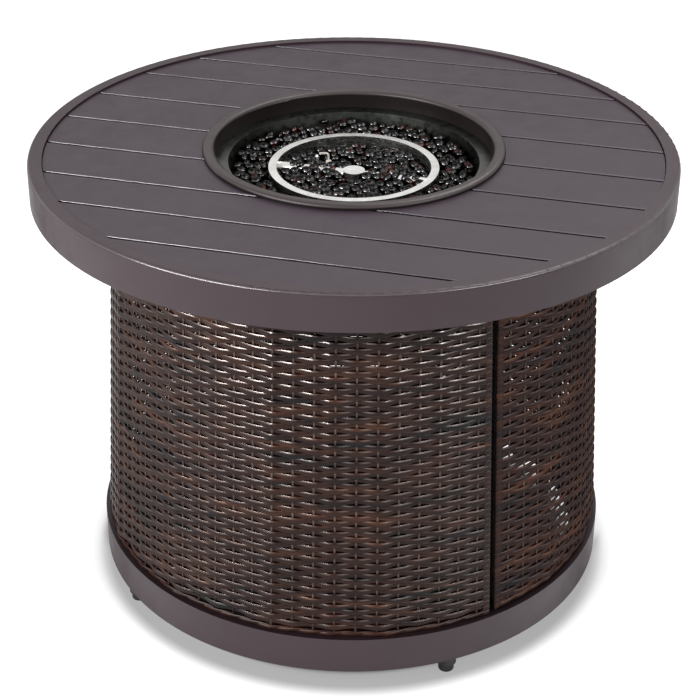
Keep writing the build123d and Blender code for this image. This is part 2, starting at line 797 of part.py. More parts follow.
# Door: wicker skin with rounded corners on a welded frame
door_start = (-door_half_angle, door_edge)
door_end = (door_half_angle, -door_edge)
with BuildPart() as door_wicker:
    for level in (door_bottom, door_top):
        with BuildSketch(Plane.XY.offset(level)):
            Polygon(
                *wall_section(door_wall, door_start, door_end, level, 0, wicker_thickness),
                align=None,
            )
    loft(ruled=True)
    corner_edges = door_wicker.edges().filter_by(lambda edge: edge.length < 1.5 * wicker_thickness)
    fillet(corner_edges, door_corner_radius)
pieces["door_wicker"] = door_wicker

frame_low = door_bottom + wicker_wrap
frame_high = door_top - wicker_wrap
window_levels = (frame_low + door_rail_height, frame_high - door_rail_height)
window_posts = [-door_half_angle + bay * door_bay_angle for bay in range(door_bay_count + 1)]
window_sides = [(door_edge + post_size, post_size / 2)]
window_sides += [(post_size / 2, post_size / 2)] * (door_bay_count - 2)
window_sides += [(post_size / 2, door_edge + post_size)]
with BuildPart() as door_frame:
    for level in (frame_low, frame_high):
        with BuildSketch(Plane.XY.offset(level)):
            Polygon(
                *wall_section(door_wall, door_start, door_end, level, wicker_thickness, frame_depth),
                align=None,
            )
    loft(ruled=True)
    for bay, (near_side, far_side) in enumerate(window_sides):
        start = (window_posts[bay], near_side)
        end = (window_posts[bay + 1], -far_side)
        for level in window_levels:
            with BuildSketch(Plane.XY.offset(level)):
                Polygon(
                    *wall_section(door_wall, start, end, level, 0, 2 * frame_depth),
                    align=None,
                )
        loft(ruled=True, mode=Mode.SUBTRACT)
pieces["door_frame"] = door_frame

# Two butt hinges in the gap at the door's edge: leaves, knuckles and pins
hinge_out = hinge_knuckle_radius + loose_gap
hinge_feet = (door_bottom + hinge_end_distance, door_top - hinge_end_distance - hinge_length)
knuckle_length = hinge_length / 3
hinge_frames = [wall_frame(door_half_angle, level) for level in hinge_feet]
with BuildPart() as hinge_fixed_leaves:
    for frame in hinge_frames:
        with BuildSketch(frame):
            bar(-hinge_leaf_depth, 0, door_edge - hinge_leaf, door_edge)
        extrude(amount=hinge_length)
        for step in (0, 2):
            with BuildSketch(frame.offset(step * knuckle_length)):
                bar(0, hinge_out, door_edge - hinge_leaf, door_edge)
                with Locations((hinge_out, 0)):
                    Circle(hinge_knuckle_radius)
                    Circle(hinge_pin_radius, mode=Mode.SUBTRACT)
            extrude(amount=knuckle_length)
pieces["hinge_fixed_leaves"] = hinge_fixed_leaves

with BuildPart() as hinge_door_leaves:
    for frame in hinge_frames:
        with BuildSketch(frame):
            bar(-hinge_leaf_depth, 0, -door_edge, hinge_leaf - door_edge)
        extrude(amount=hinge_length)
        with BuildSketch(frame.offset(knuckle_length + hinge_end_play)):
            bar(0, hinge_out, -door_edge, hinge_leaf - door_edge)
            with Locations((hinge_out, 0)):
                Circle(hinge_knuckle_radius)
                Circle(hinge_pin_radius + running_fit, mode=Mode.SUBTRACT)
        extrude(amount=knuckle_length - 2 * hinge_end_play)
pieces["hinge_door_leaves"] = hinge_door_leaves

with BuildPart() as hinge_pins:
    for frame in hinge_frames:
        with BuildSketch(frame):
            with Locations((hinge_out, 0)):
                Circle(hinge_pin_radius)
        extrude(amount=hinge_length)
        with BuildSketch(frame.offset(hinge_length)):
            with Locations((hinge_out, 0)):
                Circle(hinge_pin_head)
        extrude(amount=hinge_pin_head_height)
pieces["hinge_pins"] = hinge_pins

# Magnet catch behind the door's free edge, and the strike plate that it holds
catch_levels = (catch_height, catch_height + catch_length)
catch_front = frame_depth + strike_sheet + strike_gap
catch_post_edge = 360 - door_half_angle
catch_reach_end = (-door_half_angle, door_edge + catch_reach)
catch_blocks = (
    (
        fixed_wall, (catch_post_edge, -door_edge - post_size), (catch_post_edge, 0),
        frame_depth, frame_depth + catch_depth,
    ),
    (door_wall, (-door_half_angle, 0), catch_reach_end, catch_front, frame_depth + catch_depth),
)
with BuildPart() as magnet_catch:
    for wall, start, end, outer_depth, inner_depth in catch_blocks:
        for level in catch_levels:
            with BuildSketch(Plane.XY.offset(level)):
                Polygon(*wall_section(wall, start, end, level, outer_depth, inner_depth), align=None)
        loft(ruled=True)
pieces["magnet_catch"] = magnet_catch

with BuildPart() as strike_plate:
    for level in catch_levels:
        with BuildSketch(Plane.XY.offset(level)):
            Polygon(
                *wall_section(
                    door_wall, door_start, catch_reach_end,
                    level, frame_depth, frame_depth + strike_sheet,
                ),
                align=None,
            )
    loft(ruled=True)
pieces["strike_plate"] = strike_plate

# Tray across the band for the gas cylinder, its foot ring and the clamp screw
tray_seat = foot_height + band_sheet
tray_top = tray_seat + tray_sheet
ring_outer = tank_ring_bore + tank_ring_wall
clamp_knob_start = ring_outer + clamp_boss_length + clamp_travel + loose_gap
tray_side = clamp_knob_start + clamp_knob_length + tray_knob_gap + tray_sheet
with BuildPart() as tank_tray:
    with BuildSketch(Plane.XY.offset(tray_seat)):
        Rectangle(2 * tray_side, 2 * band_outer)
        Circle(band_outer - band_sheet - loose_gap, mode=Mode.INTERSECT)
        with PolarLocations(tray_vent_circle, tray_vent_count):
            Circle(tray_vent_radius, mode=Mode.SUBTRACT)
    extrude(amount=tray_sheet)
    with BuildSketch(Plane.XY.offset(tray_top)):
        for side in (-1, 1):
            with Locations((side * (tray_side - tray_sheet / 2), 0)):
                Rectangle(tray_sheet, 2 * tray_lip_half_length)
    extrude(amount=tray_lip - tray_sheet)
pieces["tank_tray"] = tank_tray

clamp_level = tray_top + tank_ring_height / 2
clamp_axis = Plane((0, 0, clamp_level), x_dir=(0, 1, 0), z_dir=(1, 0, 0))
with BuildPart() as tank_ring:
    with BuildSketch(Plane.XY.offset(tray_top)):
        Circle(ring_outer)
    extrude(amount=tank_ring_height)
    with BuildSketch(clamp_axis):
        Circle(clamp_boss_radius)
    extrude(amount=ring_outer + clamp_boss_length)
    with BuildSketch(Plane.XY.offset(tray_top)):
        Circle(tank_ring_bore)
    extrude(amount=tank_ring_height, mode=Mode.SUBTRACT)
    with BuildSketch(clamp_axis):
        Circle(clamp_screw_radius + running_fit)
    extrude(amount=ring_outer + clamp_boss_length, mode=Mode.SUBTRACT)
pieces["tank_ring"] = tank_ring

with BuildPart() as tank_clamp_screw:
    with BuildSketch(clamp_axis.offset(tank_ring_bore)):
        Circle(clamp_screw_radius)
    extrude(amount=clamp_knob_start - tank_ring_bore)
    with BuildSketch(clamp_axis.offset(clamp_knob_start)):
        Rectangle(2 * clamp_knob_radius, 2 * clamp_screw_radius)
        Circle(2 * clamp_screw_radius)
    extrude(amount=clamp_knob_length)
pieces["tank_clamp_screw"] = tank_clamp_screw

# Feet: bosses under the band, and four levelling feet whose studs run in them
with BuildPart() as foot_inserts:
    with BuildSketch(Plane.XY.offset(foot_pad_height)):
        with Locations(*foot_spots):
            Circle(insert_radius)
            Circle(foot_stud_radius + running_fit, mode=Mode.SUBTRACT)
    extrude(amount=foot_height - foot_pad_height)
pieces["foot_inserts"] = foot_inserts

for number, spot in enumerate(foot_spots):
    with BuildPart() as foot:
        with BuildSketch():
            with Locations(spot):
                Circle(foot_radius)
        extrude(amount=foot_pad_height)
        pad_edges = foot.edges().filter_by(GeomType.CIRCLE)
        fillet(pad_edges, foot_edge_radius)
        with BuildSketch(Plane.XY.offset(foot_pad_height)):
            with Locations(spot):
                Circle(foot_stud_radius)
        extrude(amount=foot_stud_length)
    pieces[f"levelling_foot_{number + 1}"] = foot

# Control panel on the wall's outside, with two side returns
plate_back = panel_face.offset(panel_stand_off)
plate_front = plate_back.offset(panel_sheet)
with BuildPart() as control_panel:
    with BuildSketch(plate_back):
        RectangleRounded(panel_width, panel_height, panel_corner_radius)
        with Locations(*screw_spots):
            Circle(panel_screw_radius + free_gap, mode=Mode.SUBTRACT)
        with Locations((valve_side, 0)):
            Circle(stem_radius + loose_gap, mode=Mode.SUBTRACT)
        with Locations((igniter_side, 0)):
            Circle(igniter_radius + free_gap, mode=Mode.SUBTRACT)
    extrude(amount=panel_sheet)
    with BuildSketch(plate_back):
        for side in (-1, 1):
            with Locations((side * (panel_width - panel_sheet) / 2, 0)):
                Rectangle(panel_sheet, panel_height - 2 * panel_corner_radius)
    extrude(amount=-panel_return)
pieces["control_panel"] = control_panel

screw_length = wicker_thickness + panel_nut_height + 2 * panel_return
with BuildPart() as panel_screws:
    with BuildSketch(plate_front):
        with Locations(*screw_spots):
            Circle(panel_screw_head_radius)
    extrude(amount=panel_screw_head)
    with BuildSketch(plate_front):
        with Locations(*screw_spots):
            Circle(panel_screw_radius)
    extrude(amount=-screw_length)
    with BuildSketch(plate_front.offset(-screw_length + panel_nut_height / 4)):
        with Locations(*screw_spots):
            RegularPolygon(panel_nut_radius, 6)
            Circle(panel_screw_radius + running_fit, mode=Mode.SUBTRACT)
    extrude(amount=panel_nut_height)
pieces["panel_screws"] = panel_screws

# Gas valve behind the panel: body, outlet boss on top, flared inlet below, stem bore in front
valve_axis = Plane(plate_back.from_local_coords((valve_side, 0, 0)), x_dir=plate_back.x_dir,
                   z_dir=plate_back.z_dir)
valve_up = Plane(valve_axis.from_local_coords((0, 0, -valve_depth / 2)), x_dir=valve_axis.x_dir,
                 z_dir=valve_axis.y_dir)
with BuildPart() as gas_valve:
    with BuildSketch(valve_axis):
        Rectangle(valve_width, valve_height)
    extrude(amount=-valve_depth)
    with BuildSketch(valve_up):
        Circle(valve_outlet_radius)
    extrude(amount=valve_height / 2 + valve_outlet_height)
    with BuildSketch(valve_up):
        RegularPolygon(inlet_hex_radius, 6)
    extrude(amount=-(valve_height / 2 + inlet_hex_height))
    with BuildSketch(valve_up):
        Circle(inlet_radius)
    extrude(amount=-(valve_height / 2 + inlet_hex_height + inlet_length))
    with BuildSketch(valve_axis):
        Circle(valve_cavity_radius)
    extrude(amount=-valve_cavity_depth, mode=Mode.SUBTRACT)
    with BuildSketch(valve_axis):
        Circle(stem_radius + running_fit)
    extrude(amount=-(stem_inner_length + 2 * knob_travel), mode=Mode.SUBTRACT)
    with BuildSketch(valve_up.offset(valve_height / 2)):
        Circle(gas_tube_radius + free_gap)
    extrude(amount=valve_outlet_height, mode=Mode.SUBTRACT)
    with BuildSketch(valve_up.offset(-valve_height / 2)):
        Circle(inlet_bore)
    extrude(amount=-(inlet_hex_height + inlet_length), mode=Mode.SUBTRACT)
pieces["gas_valve"] = gas_valve

# Stem, return spring and the washer between them
collar_back = valve_axis.offset(-stem_collar_depth - stem_collar_height)
with BuildPart() as valve_stem:
    with BuildSketch(valve_axis.offset(-stem_inner_length)):
        Circle(stem_radius)
    extrude(amount=stem_inner_length + stem_outer_length)
    with BuildSketch(collar_back):
        Circle(stem_collar_radius)
    extrude(amount=stem_collar_height)
pieces["valve_stem"] = valve_stem

with BuildPart() as stem_washer:
    with BuildSketch(collar_back.offset(-running_fit)):
        Circle(washer_radius)
        Circle(stem_radius + free_gap, mode=Mode.SUBTRACT)
    extrude(amount=-washer_height)
pieces["stem_washer"] = stem_washer


def coil(start, length, turns, coil_radius, wire_radius):
    """Open coil spring along the normal of a plane, standing a wire off each end."""
    run = length - 2 * wire_radius
    path = Helix(run / turns, run, coil_radius, center=(0, 0, wire_radius), mode=Mode.PRIVATE)
    return start.location * path


stem_spring_start = valve_axis.offset(-valve_cavity_depth)
washer_back = stem_collar_depth + stem_collar_height + running_fit + washer_height
stem_spring_length = valve_cavity_depth - washer_back
stem_coil = coil(stem_spring_start, stem_spring_length, stem_coil_turns, stem_coil_radius, stem_wire_radius)
with BuildPart() as stem_spring:
    with BuildSketch(Plane(stem_coil @ 0, z_dir=stem_coil % 0)):
        Circle(stem_wire_radius)
    sweep(path=stem_coil, is_frenet=True)
pieces["stem_spring"] = stem_spring

# Control knob: fluted, with a pointer ridge
knob_back = plate_front.offset(knob_travel + knob_gap)
knob_plane = Plane(knob_back.from_local_coords((valve_side, 0, 0)), x_dir=knob_back.x_dir,
                   z_dir=knob_back.z_dir)
stem_end = stem_outer_length - panel_sheet - knob_travel - knob_gap
with BuildPart() as control_knob:
    with BuildSketch(knob_plane):
        Circle(knob_radius)
        with PolarLocations(knob_radius + knob_flute_radius / 2, knob_flute_count):
            Circle(knob_flute_radius, mode=Mode.SUBTRACT)
    extrude(amount=knob_height)
    with BuildSketch(knob_plane.offset(knob_height)):
        with Locations((0, knob_radius / 2)):
            Rectangle(knob_pointer_width, knob_radius - 2 * knob_edge_radius)
    extrude(amount=knob_pointer_height)
    with BuildSketch(knob_plane):
        Circle(stem_radius)
    extrude(amount=stem_end, mode=Mode.SUBTRACT)
pieces["control_knob"] = control_knob

# Igniter: body through the panel, button and return spring
igniter_axis = Plane(plate_front.from_local_coords((igniter_side, 0, 0)), x_dir=plate_front.x_dir,
                     z_dir=plate_front.z_dir)
with BuildPart() as igniter_body:
    with BuildSketch(igniter_axis):
        Circle(igniter_flange_radius)
    extrude(amount=igniter_flange_height)
    with BuildSketch(igniter_axis):
        Circle(igniter_radius)
    extrude(amount=-igniter_length)
    with BuildSketch(igniter_axis.offset(igniter_flange_height)):
        Circle(igniter_bore)
    extrude(amount=-igniter_bore_depth, mode=Mode.SUBTRACT)
pieces["igniter_body"] = igniter_body

button_back = igniter_axis.offset(igniter_flange_height + button_rise - button_length)
with BuildPart() as igniter_button:
    with BuildSketch(button_back):
        Circle(igniter_bore - running_fit)
    extrude(amount=button_length)
    button_edge = igniter_button.edges().filter_by(GeomType.CIRCLE).sort_by(
        lambda edge: -(edge.center() - button_back.origin).length
    )[0]
    fillet(button_edge, button_edge_radius)
pieces["igniter_button"] = igniter_button

igniter_spring_start = igniter_axis.offset(igniter_flange_height - igniter_bore_depth)
igniter_spring_length = igniter_bore_depth + button_rise - button_length
button_coil = coil(
    igniter_spring_start, igniter_spring_length, button_coil_turns, button_coil_radius, button_wire_radius,
)
with BuildPart() as igniter_spring:
    with BuildSketch(Plane(button_coil @ 0, z_dir=button_coil % 0)):
        Circle(button_wire_radius)
    sweep(path=button_coil, is_frenet=True)
pieces["igniter_spring"] = igniter_spring

# Gas tube from the valve's outlet to the jet
outlet = valve_up.from_local_coords((0, 0, valve_height / 2 + free_gap))
outlet_up = valve_up.z_dir
outlet_turn = outlet + outlet_up * ((mixer_level - outlet.Z) / outlet_up.Z)
outlet_along = outlet_turn.dot(radial(panel_angle))
jet_entry = towards_panel(mixer_reach + free_gap, 0, mixer_level)
jet_turn = towards_panel(jet_end + 3 * gas_tube_radius, 0, mixer_level)
side_turn = towards_panel(outlet_along - 8 * gas_tube_radius, valve_side, mixer_level)
with BuildPart() as gas_tube:
    with BuildLine() as gas_path:
        FilletPolyline(jet_entry, jet_turn, side_turn, outlet_turn, outlet, radius=3 * gas_tube_radius)
    with BuildSketch(Plane(gas_path.line @ 0, z_dir=gas_path.line % 0)):
        Circle(gas_tube_radius)
    sweep()
pieces["gas_tube"] = gas_tube

# Leads from the igniter and the valve to the probes, held above the shield
lead_level = pan_underside - probe_stub - 4 * lead_radius
igniter_rear = igniter_axis.from_local_coords((0, 0, -igniter_length))
igniter_run = igniter_axis.from_local_coords((0, 0, -igniter_length - 8 * lead_radius))
igniter_rise = towards_panel(
    igniter_run.dot(radial(panel_angle)) - 10 * lead_radius, igniter_side, lead_level,
)
electrode_foot = towards_panel(probe_reach, probe_side, pan_underside - probe_stub)
with BuildPart() as igniter_lead:
    with BuildLine() as igniter_path:
        FilletPolyline(
            igniter_rear, igniter_run, igniter_rise,
            towards_panel(probe_reach, probe_side, lead_level), electrode_foot,
            radius=3 * lead_radius,
        )
    with BuildSketch(Plane(igniter_path.line @ 0, z_dir=igniter_path.line % 0)):
        Circle(lead_radius)
    sweep()
pieces["igniter_lead"] = igniter_lead

valve_rear = valve_axis.from_local_coords((0, -valve_probe_drop, -valve_depth))
valve_run = valve_axis.from_local_coords((0, -valve_probe_drop, -valve_depth - 8 * lead_radius))
thermocouple_side = probe_side + probe_pitch
thermocouple_rise = towards_panel(
    valve_run.dot(radial(panel_angle)) - 14 * lead_radius, thermocouple_side, lead_level,
)
thermocouple_foot = towards_panel(probe_reach, thermocouple_side, pan_underside - probe_stub)
with BuildPart() as thermocouple_lead:
    with BuildLine() as thermocouple_path:
        FilletPolyline(
            valve_rear, valve_run, thermocouple_rise,
            towards_panel(probe_reach, thermocouple_side, lead_level), thermocouple_foot,
            radius=3 * lead_radius,
        )
    with BuildSketch(Plane(thermocouple_path.line @ 0, z_dir=thermocouple_path.line % 0)):
        Circle(lead_radius)
    sweep()
pieces["thermocouple_lead"] = thermocouple_lead

for label, piece in pieces.items():
    piece.part.label = label
    export_step(piece.part, f"parts/{label}.step")
print(len(pieces), "pieces")
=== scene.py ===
import json
import math

import bmesh
import bpy
import numpy as np
from mathutils import Matrix, Vector


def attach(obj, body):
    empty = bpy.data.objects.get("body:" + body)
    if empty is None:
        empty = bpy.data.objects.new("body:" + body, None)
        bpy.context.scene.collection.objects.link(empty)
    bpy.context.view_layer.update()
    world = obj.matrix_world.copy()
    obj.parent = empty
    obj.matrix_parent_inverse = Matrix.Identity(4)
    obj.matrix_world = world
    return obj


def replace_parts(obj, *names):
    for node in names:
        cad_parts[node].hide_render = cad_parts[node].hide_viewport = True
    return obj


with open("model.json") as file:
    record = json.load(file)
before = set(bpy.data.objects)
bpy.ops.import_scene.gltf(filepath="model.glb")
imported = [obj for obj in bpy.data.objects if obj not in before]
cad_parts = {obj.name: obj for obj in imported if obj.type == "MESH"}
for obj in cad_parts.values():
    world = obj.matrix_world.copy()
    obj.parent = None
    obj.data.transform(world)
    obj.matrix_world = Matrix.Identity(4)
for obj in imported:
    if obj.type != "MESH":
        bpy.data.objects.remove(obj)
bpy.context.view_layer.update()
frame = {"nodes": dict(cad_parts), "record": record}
nodes = frame["nodes"]
rng = np.random.default_rng(7)

MM = 0.001
FULL_TURN = 2 * math.pi
scene = bpy.context.scene


def heading(azimuth, elevation):
    """Direction at an azimuth and an elevation in degrees."""
    a, e = math.radians(azimuth), math.radians(elevation)
    return math.cos(a) * math.cos(e), math.sin(a) * math.cos(e), math.sin(e)


# Camera, at the photograph's place: metres, degrees and millimetres of lens
CAMERA_DISTANCE, CAMERA_HEIGHT = 2.118, 1.4777
CAMERA_PITCH, CAMERA_YAW, CAMERA_ROLL = 29.173, -0.087, 0.399
CAMERA_TURN = 14.761
CAMERA_LENS, SENSOR_WIDTH, CLIP_END = 93.401, 36, 60


def place_camera():
    pitch, yaw, roll = (math.radians(angle) for angle in (CAMERA_PITCH, CAMERA_YAW, CAMERA_ROLL))
    forward = Vector((math.cos(pitch) * math.sin(yaw), math.cos(pitch) * math.cos(yaw), -math.sin(pitch)))
    right = Vector((math.cos(yaw), -math.sin(yaw), 0))
    up = Vector((math.sin(pitch) * math.sin(yaw), math.sin(pitch) * math.cos(yaw), math.cos(pitch)))
    tilted_right = right * math.cos(roll) + up * math.sin(roll)
    tilted_up = up * math.cos(roll) - right * math.sin(roll)
    basis = Matrix((tilted_right, tilted_up, -forward)).transposed().to_4x4()
    basis.translation = Vector((0, -CAMERA_DISTANCE, CAMERA_HEIGHT))
    data = bpy.data.cameras.new("camera")
    data.sensor_width = SENSOR_WIDTH
    data.lens = CAMERA_LENS
    data.clip_end = CLIP_END
    camera = bpy.data.objects.new("camera", data)
    camera.matrix_world = Matrix.Rotation(math.radians(CAMERA_TURN), 4, "Z") @ basis
    scene.collection.objects.link(camera)
    scene.camera = camera


place_camera()


class Nodes:
    """A material's node tree, with short names for what the materials use."""

    def __init__(self, name):
        self.material = bpy.data.materials.new(name)
        self.material.use_nodes = True
        self.tree = self.material.node_tree
        self.tree.nodes.clear()
        self.out = self.add("ShaderNodeOutputMaterial")

    def add(self, kind, inputs=None, **settings):
        node = self.tree.nodes.new(kind)
        for key, value in settings.items():
            setattr(node, key, value)
        for key, value in (inputs or {}).items():
            socket = node.inputs[key]
            if isinstance(value, bpy.types.NodeSocket):
                self.tree.links.new(value, socket)
            else:
                socket.default_value = value
        return node

    def show(self, output):
        self.tree.links.new(output, self.out.inputs["Surface"])

    def math(self, operation, *values):
        return self.add("ShaderNodeMath", dict(enumerate(values)), operation=operation).outputs[0]

    def times(self, *values):
        product = values[0]
        for value in values[1:]:
            product = self.math("MULTIPLY", product, value)
        return product

    def plus(self, first, second):
        return self.math("ADD", first, second)

    def rest(self, value):
        """What a share leaves of 1."""
        return self.math("SUBTRACT", 1.0, value)

    def vector(self, operation, *values):
        node = self.add("ShaderNodeVectorMath", dict(enumerate(values)), operation=operation)
        return node.outputs["Value"] if operation in ("LENGTH", "DOT_PRODUCT") else node.outputs["Vector"]

    def stretched(self, vector, factor):
        node = self.add("ShaderNodeVectorMath", {0: vector, "Scale": factor}, operation="SCALE")
        return node.outputs["Vector"]

    def split(self, vector):
        return self.add("ShaderNodeSeparateXYZ", {"Vector": vector}).outputs

    def joined(self, **parts):
        return self.add("ShaderNodeCombineXYZ", parts).outputs["Vector"]

    def ramp(self, factor, stops):
        node = self.add("ShaderNodeValToRGB", {"Fac": factor})
        elements = node.color_ramp.elements
        while len(elements) < len(stops):
            elements.new(0.5)
        for element, (position, colour) in zip(elements, stops):
            element.position = position
            element.color = (*colour, 1)
        return node.outputs["Color"]

    def noise(self, vector, scale, detail=3.0, rough=0.55, distortion=0.0):
        inputs = {"Vector": vector, "Scale": scale, "Detail": detail, "Roughness": rough}
        return self.add("ShaderNodeTexNoise", {**inputs, "Distortion": distortion}).outputs["Fac"]

    def remap(self, value, low, high, to_low=0.0, to_high=1.0, kind="LINEAR"):
        inputs = {"Value": value, "From Min": low, "From Max": high, "To Min": to_low, "To Max": to_high}
        return self.add("ShaderNodeMapRange", inputs, interpolation_type=kind).outputs["Result"]

    def smooth(self, value, low, high, to_low=0.0, to_high=1.0):
        return self.remap(value, low, high, to_low, to_high, "SMOOTHSTEP")

    def varied(self, value, middle, below, above):
        """A roughness that follows a noise, from a little below its middle to a little above."""
        return self.remap(value, low=0.3, high=0.7, to_low=middle - below, to_high=middle + above)

    def scaled(self, vector, scale):
        return self.add("ShaderNodeMapping", {"Vector": vector, "Scale": scale}).outputs["Vector"]

    def position(self):
        return self.add("ShaderNodeTexCoord").outputs["Object"]

    def normal(self):
        return self.add("ShaderNodeNewGeometry").outputs["Normal"]

    def upward(self, normal=None):
        """How far a normal points up, from -1 to 1."""
        return self.split(self.normal() if normal is None else normal)["Z"]

    def grazing(self):
        """0 where the surface faces the viewer and 1 where it is seen edge-on."""
        return self.add("ShaderNodeLayerWeight", {"Blend": 0.5}).outputs["Facing"]

    def toward(self, normal, direction):
        """Cosine between a normal and a direction given as azimuth and elevation."""
        return self.vector("DOT_PRODUCT", normal, heading(*direction))

    def blend(self, factor, first, second):
        return self.add("ShaderNodeMix", {0: factor, 4: first, 5: second}, data_type="VECTOR").outputs[1]

    def rolled_edge(self, place, across, level):
        """Normal of an edge rolled round a ring: its centre lies at a radius and a height."""
        x, y, z = self.split(place)
        flat = self.joined(X=x, Y=y)
        reach = self.math("MAXIMUM", self.math("SUBTRACT", self.vector("LENGTH", flat), across), 0.0)
        rise = self.math("MAXIMUM", self.math("SUBTRACT", z, level), 0.0)
        sideways = self.stretched(self.vector("NORMALIZE", flat), reach)
        rolled = self.vector("NORMALIZE", self.vector("ADD", sideways, self.joined(Z=rise)))
        normal = self.normal()
        agree = self.smooth(self.vector("DOT_PRODUCT", rolled, normal), low=0.75, high=0.9)
        return self.vector("NORMALIZE", self.blend(agree, normal, rolled))

    def bump(self, height, strength, distance=0.0001, normal=None):
        inputs = {"Height": height, "Strength": strength, "Distance": distance}
        if normal is not None:
            inputs["Normal"] = normal
        return self.add("ShaderNodeBump", inputs).outputs["Normal"]

    def principled(self, inputs):
        self.show(self.add("ShaderNodeBsdfPrincipled", inputs).outputs[0])


def powder_coat(name, tones, rough=0.40, polish=0.0, side=1.0, flat=1.0, edge=None, deep=0.0):
    """Satin powder coat with a fine orange peel, rubbed glossy along its folds.

    side and flat are the shares of colour and sheen left on upright and on level faces, as painted
    shade. edge is the radius and the height of a rolled edge's centre. deep moves the start of a fold's
    gloss and of its painted shade further away from its upright side.
    """
    m = Nodes(name)
    dark, light = tones
    place = m.position()
    fine = m.noise(place, scale=900.0, detail=4.0, rough=0.6)
    broad = m.noise(place, scale=9.0, rough=0.5)
    colour = m.ramp(m.plus(m.times(fine, 0.45), m.times(broad, 0.55)), [(0.35, dark), (0.65, light)])
    normal = m.rolled_edge(place, *edge) if edge else None
    level = m.upward(normal)
    rising = m.smooth(level, low=0.20 + deep, high=0.40 + deep)
    falling = m.smooth(level, low=0.80, high=0.95, to_low=1.0, to_high=0.0)
    fold = m.times(rising, falling, polish)
    # painted shade: upright faces keep only the side share of colour and sheen, level faces only the flat
    # share
    side_shade = m.smooth(level, low=0.05 + deep, high=0.45 + deep, to_low=side)
    level_shade = m.smooth(level, low=0.6, high=0.9, to_low=1.0, to_high=flat)
    painted_shade = m.times(side_shade, level_shade)
    satin = m.varied(m.noise(place, scale=40.0), rough, below=0.04, above=0.05)
    sheen = m.smooth(m.grazing(), low=0.47, high=0.77, to_low=0.46, to_high=0.06)
    peel = m.noise(place, scale=1300.0, detail=2.0, rough=0.6)
    m.principled({
        "Base Color": m.stretched(colour, painted_shade),
        "Roughness": m.math("SUBTRACT", satin, m.times(fold, 0.14)),
        "IOR": m.plus(m.times(fold, 0.45), 1.5),
        "Specular IOR Level": m.times(sheen, painted_shade),
        "Specular Tint": (0.97, 0.94, 1.0, 1.0),
        "Normal": m.bump(peel, m.times(m.rest(fold), 0.08), normal=normal),
    })
    return m.material


def metal(name, dark, light, rough, stretch=(1, 1, 1), scale=600.0):
    m = Nodes(name)
    place = m.position()
    streaks = m.noise(m.scaled(place, stretch), scale, detail=4.0, rough=0.6)
    cloud = m.noise(place, scale=25.0, rough=0.5)
    mixed = m.plus(m.times(streaks, 0.5), m.times(cloud, 0.5))
    m.principled({
        "Base Color": m.ramp(mixed, [(0.35, dark), (0.65, light)]),
        "Metallic": 1.0,
        "Roughness": m.varied(streaks, rough, below=0.06, above=0.08),
        "Normal": m.bump(streaks, 0.25),
    })
    return m.material


def plastic(name, dark, light, rough, scale=700.0, strength=0.3):
    m = Nodes(name)
    place = m.position()
    grain = m.noise(place, scale, rough=0.6)
    m.principled({
        "Base Color": m.ramp(grain, [(0.3, dark), (0.7, light)]),
        "Roughness": m.varied(m.noise(place, scale=60.0), rough, below=0.05, above=0.06),
        "Normal": m.bump(grain, strength),
    })
    return m.material


# Azimuth and elevation of the strand faces, and of the glass facets, that shine under the two side lamps
STRAND_LIT = (-103, 30), (-49, 30)
GLASS_LIT = (-100, 34), (-54, 34)
# Rough radius of the wall and the most that a row's colours are shifted, in metres
WALL_RADIUS, ROW_SHIFT = 0.32, 0.05
# Height of a row of the weave in millimetres
PITCH = 7.4


def wicker_material(name, tones, rough, shine):
    """Resin strands: each row has its own stretches of colour and fine lines along it; painted light
    lightens upward faces.
    """
    m = Nodes(name)
    x, y, z = m.split(m.position())
    around = m.times(m.math("ARCTAN2", y, m.times(x, -1.0)), WALL_RADIUS)
    row = m.math("FLOOR", m.math("DIVIDE", z, PITCH * MM))
    strand = m.add("ShaderNodeTexWhiteNoise", {"W": row}, noise_dimensions="1D").outputs["Value"]
    shifted = m.plus(around, m.times(strand, ROW_SHIFT))
    flat = m.joined(X=shifted, Y=z)
    patches = m.noise(m.scaled(flat, (5.0, 26.0, 1.0)), scale=1.0, detail=2.0, distortion=0.4)
    strand_flat = m.joined(X=shifted, Y=m.times(row, 0.9))
    lengths = m.noise(m.scaled(strand_flat, (11.0, 1.0, 1.0)), scale=1.0, detail=2.0, rough=0.6)
    fibres = m.noise(m.scaled(flat, (60.0, 2200.0, 1.0)), scale=1.0, rough=0.6)
    mixed = m.plus(m.times(patches, 0.4), m.times(lengths, 0.6))
    level = m.upward()
    # painted light: faces that point up get a lighter tone
    painted_top_light = m.times(m.smooth(level, low=0.15, high=0.5), 0.045)
    tone = m.plus(mixed, m.times(m.math("SUBTRACT", fibres, 0.5), 0.12))
    normal = m.normal()
    lit = m.math("MAXIMUM", *(m.toward(normal, direction) for direction in STRAND_LIT))
    glint = m.times(m.smooth(level, low=0.2, high=0.42), m.smooth(lit, low=0.915, high=0.975))
    gloss = m.plus(m.times(glint, 0.7 * shine), 0.3 * shine)
    facing = m.smooth(m.grazing(), low=0.40, high=0.70, to_low=1.0, to_high=0.1)
    m.principled({
        "Base Color": m.ramp(m.plus(tone, painted_top_light), tones),
        "Roughness": m.varied(fibres, rough, below=0.04, above=0.06),
        "IOR": m.plus(m.times(glint, 0.8 * shine), 1.5),
        "Specular IOR Level": m.times(gloss, facing),
        "Specular Tint": (1.0, 0.90, 0.86, 1.0),
        "Normal": m.bump(fibres, 0.07),
    })
    return m.material


